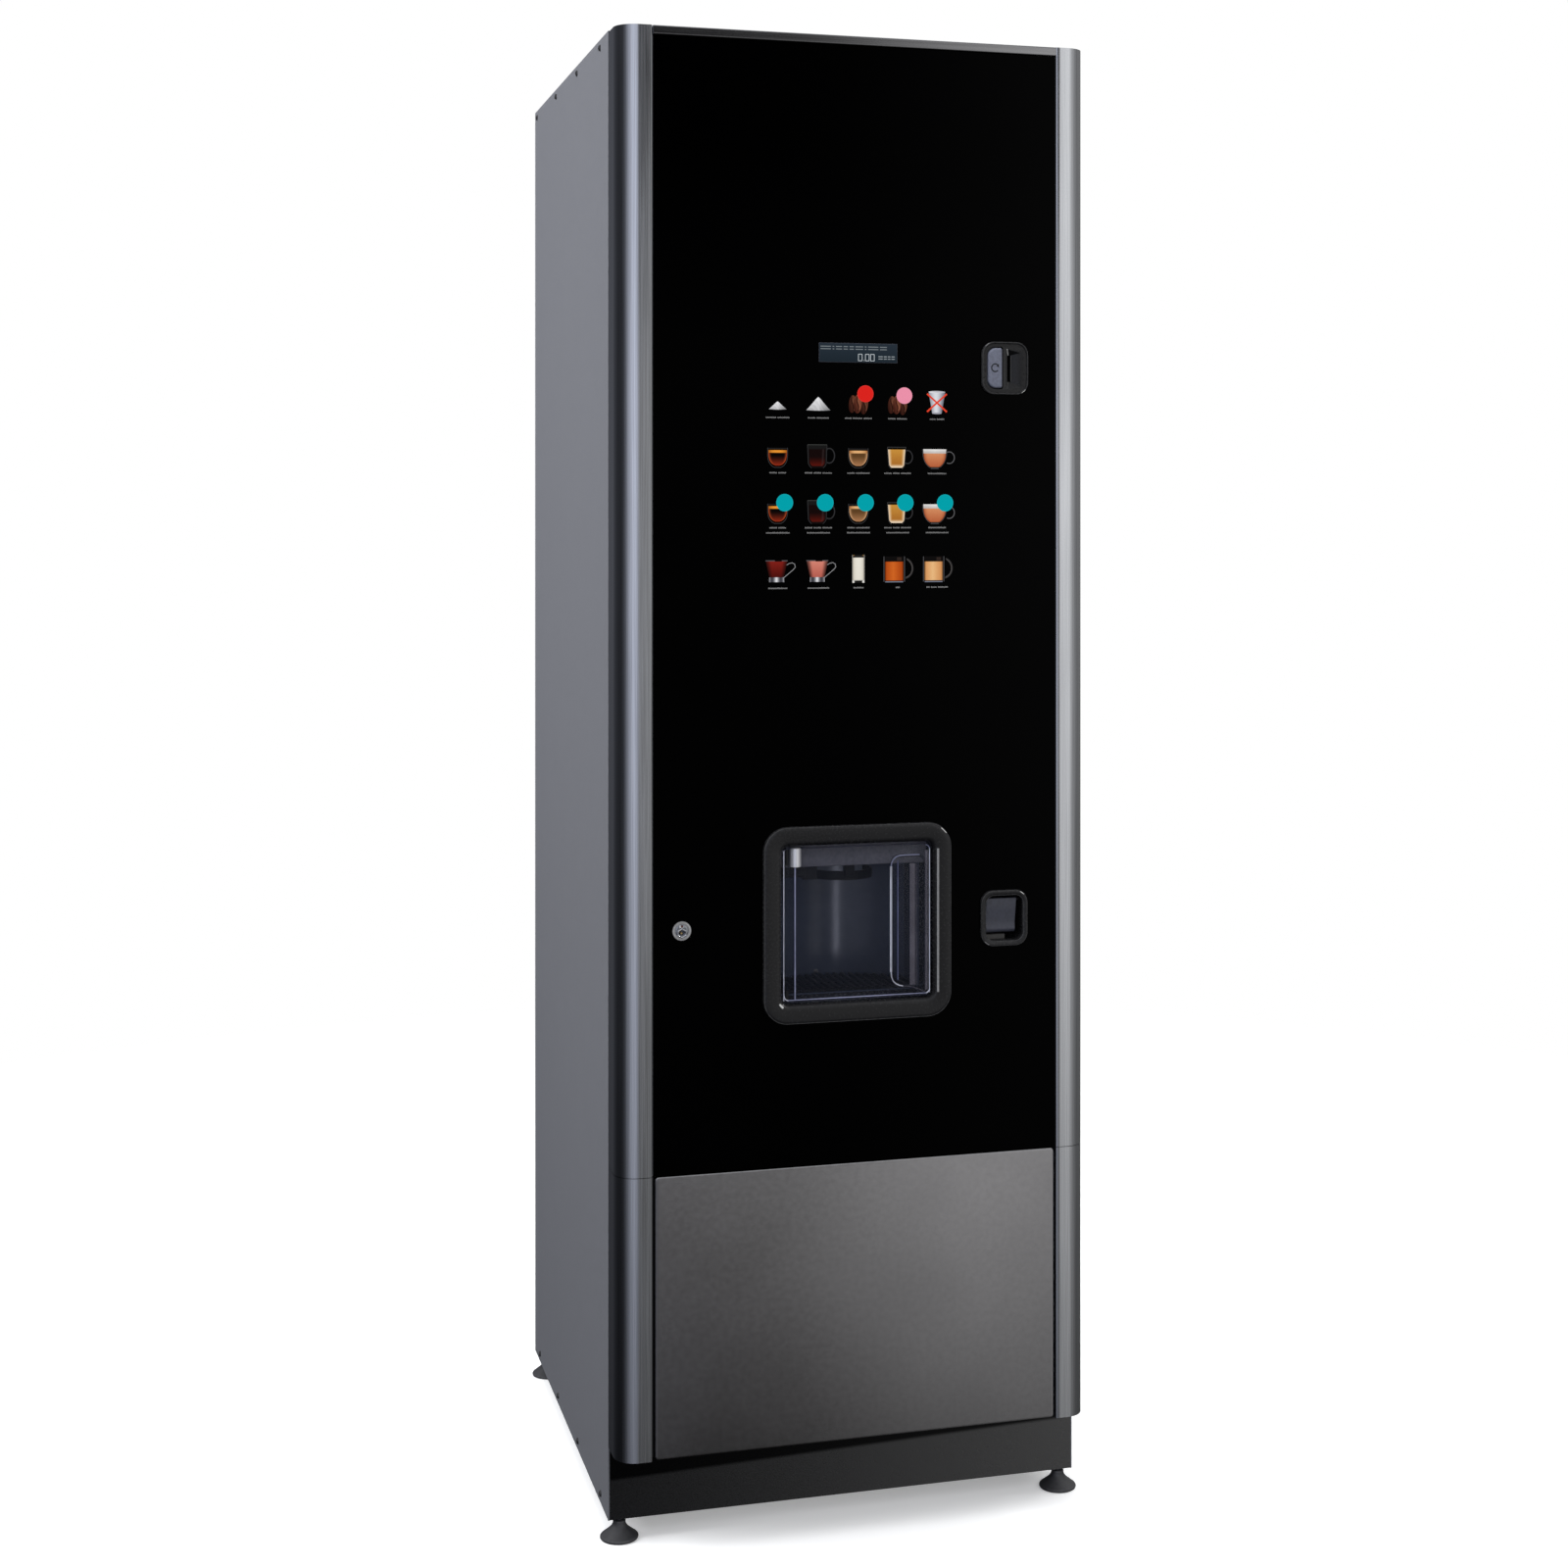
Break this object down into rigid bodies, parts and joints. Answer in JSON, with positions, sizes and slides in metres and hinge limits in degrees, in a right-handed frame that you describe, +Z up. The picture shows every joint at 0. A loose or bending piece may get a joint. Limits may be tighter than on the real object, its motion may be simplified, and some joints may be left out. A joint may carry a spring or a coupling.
{
  "type": "hot coffee vending machine",
  "caption": "Floor-standing hot coffee vending machine: hinged glass door with touch menu, delivery hatch, coin entry, return cup and lock, working interior on screw feet.",
  "frame": {"origin": "middle of the footprint, on the floor under the feet", "axes": "+X to the customer's right, +Y to the back of the cabinet, +Z up"},
  "size_m": [0.565, 0.623, 1.6814],
  "materials": {
    "grey_powder_coat": "textured powder coat",
    "anodised_post": "satin anodised",
    "brushed_panel": "fine brushed, dark",
    "black_glass": "polished black, printed from behind",
    "black_plastic": "satin",
    "slate_plastic": "satin",
    "clear_plastic": "clear polycarbonate",
    "zinc_steel": "zinc plated",
    "stainless": "brushed",
    "chrome_trim": "polished",
    "white_plastic": "moulded",
    "smoke_plastic": "translucent smoke",
    "foot_rubber": "matt",
    "hose_silicone": "silicone"
  },
  "bodies": {
    "cabinet": {"side_panel_left": "grey_powder_coat", "side_panel_right": "grey_powder_coat", "back_panel": "zinc_steel", "top_panel": "grey_powder_coat", "base_pan": "zinc_steel", "kick_plate": "grey_powder_coat", "panel_screws": "black_plastic", "hinge_brackets": "zinc_steel", "machine_deck": "zinc_steel", "cup_station": "slate_plastic", "nozzle_block": "slate_plastic", "cup_chute": "smoke_plastic", "turret_base": "zinc_steel", "canister_shelf": "zinc_steel", "canister_sugar": "white_plastic", "canister_milk": "white_plastic", "canister_chocolate": "white_plastic", "canister_tea": "white_plastic", "mixer_left": "white_plastic", "mixer_right": "white_plastic", "bean_hopper": "smoke_plastic", "grinder": "black_plastic", "brewer_frame": "white_plastic", "boiler": "stainless", "water_pump": "black_plastic", "control_box": "zinc_steel", "service_inlets": "black_plastic", "waste_bin": "black_plastic", "water_hoses": "hose_silicone"},
    "door": {"door_pillar_left": "anodised_post", "door_pillar_right": "anodised_post", "lower_corner_left": "anodised_post", "lower_corner_right": "anodised_post", "door_top_rail": "anodised_post", "door_glass": "black_glass", "lower_panel": "brushed_panel", "door_liner": "zinc_steel", "display_module": "slate_plastic", "hatch_bezel": "black_plastic", "coin_entry_bezel": "black_plastic", "coin_return_cup": "black_plastic", "coin_changer": "black_plastic", "lock_housing": "chrome_trim"},
    "hatch": {"delivery_hatch": "clear_plastic"},
    "return_button": {"coin_return_button": "slate_plastic"},
    "return_flap_door": {"return_flap": "slate_plastic"},
    "lock_plug": {"lock_cylinder": "chrome_trim"},
    "cash_drawer": {"cash_box": "zinc_steel"},
    "foot_fl": {"levelling_foot_front_left": "foot_rubber"},
    "foot_fr": {"levelling_foot_front_right": "foot_rubber"},
    "foot_rl": {"levelling_foot_rear_left": "foot_rubber"},
    "foot_rr": {"levelling_foot_rear_right": "foot_rubber"},
    "turret": {"cup_turret": "smoke_plastic"},
    "hopper_lid": {"bean_hopper_lid": "black_plastic"},
    "piston": {"brewer_piston": "stainless"},
    "grille": {"drip_grille": "black_plastic"},
    "auger_one": {"auger_sugar": "white_plastic"},
    "auger_two": {"auger_milk": "white_plastic"},
    "auger_three": {"auger_chocolate": "white_plastic"},
    "auger_four": {"auger_tea": "white_plastic"}
  },
  "joints": [
    {"name": "door_swing", "type": "hinge", "parent": "cabinet", "child": "door", "pos_m": [0.267, -0.2624, 0.9], "axis": [0, 0, 1], "range_deg": [0, 95]},
    {"name": "hatch_swing", "type": "hinge", "parent": "door", "child": "hatch", "pos_m": [-0.083, -0.303, 0.686], "axis": [0, 0, -1], "range_deg": [0, 85]},
    {"name": "coin_return_press", "type": "slide", "parent": "door", "child": "return_button", "axis": [0, 1, 0], "range_m": [0, 0.004], "stiffness_N_per_m": 200},
    {"name": "return_flap_swing", "type": "hinge", "parent": "door", "child": "return_flap_door", "pos_m": [0.171, -0.3035, 0.704], "axis": [1, 0, 0], "range_deg": [0, 55]},
    {"name": "lock_turn", "type": "hinge", "parent": "door", "child": "lock_plug", "pos_m": [-0.2032, -0.28, 0.6861], "axis": [0, 1, 0], "range_deg": [0, 90]},
    {"name": "cash_box_lift", "type": "slide", "parent": "door", "child": "cash_drawer", "axis": [0, 0, 1], "range_m": [0, 0.05]},
    {"name": "foot_front_left_turn", "type": "hinge", "parent": "cabinet", "child": "foot_fl", "pos_m": [-0.2609, -0.2433, 0.03], "axis": [0, 0, 1], "continuous": true},
    {"name": "foot_front_right_turn", "type": "hinge", "parent": "cabinet", "child": "foot_fr", "pos_m": [0.2609, -0.2433, 0.03], "axis": [0, 0, 1], "continuous": true},
    {"name": "foot_rear_left_turn", "type": "hinge", "parent": "cabinet", "child": "foot_rl", "pos_m": [-0.2609, 0.2785, 0.03], "axis": [0, 0, 1], "continuous": true},
    {"name": "foot_rear_right_turn", "type": "hinge", "parent": "cabinet", "child": "foot_rr", "pos_m": [0.2609, 0.2785, 0.03], "axis": [0, 0, 1], "continuous": true},
    {"name": "cup_turret_spin", "type": "hinge", "parent": "cabinet", "child": "turret", "pos_m": [-0.105, -0.072, 1.4], "axis": [0, 0, 1], "continuous": true},
    {"name": "hopper_lid_slide", "type": "slide", "parent": "cabinet", "child": "hopper_lid", "axis": [0, -1, 0], "range_m": [0, 0.12]},
    {"name": "brewer_piston_stroke", "type": "slide", "parent": "cabinet", "child": "piston", "axis": [0, 0, 1], "range_m": [0, 0.025]},
    {"name": "drip_grille_lift", "type": "slide", "parent": "cabinet", "child": "grille", "axis": [0, 0, 1], "range_m": [0, 0.03]},
    {"name": "auger_sugar_spin", "type": "hinge", "parent": "cabinet", "child": "auger_one", "pos_m": [-0.222, 0.04, 1.021], "axis": [0, 1, 0], "continuous": true},
    {"name": "auger_milk_spin", "type": "hinge", "parent": "cabinet", "child": "auger_two", "pos_m": [-0.164, 0.04, 1.021], "axis": [0, 1, 0], "continuous": true},
    {"name": "auger_chocolate_spin", "type": "hinge", "parent": "cabinet", "child": "auger_three", "pos_m": [-0.106, 0.04, 1.021], "axis": [0, 1, 0], "continuous": true},
    {"name": "auger_tea_spin", "type": "hinge", "parent": "cabinet", "child": "auger_four", "pos_m": [-0.048, 0.04, 1.021], "axis": [0, 1, 0], "continuous": true}
  ]
}
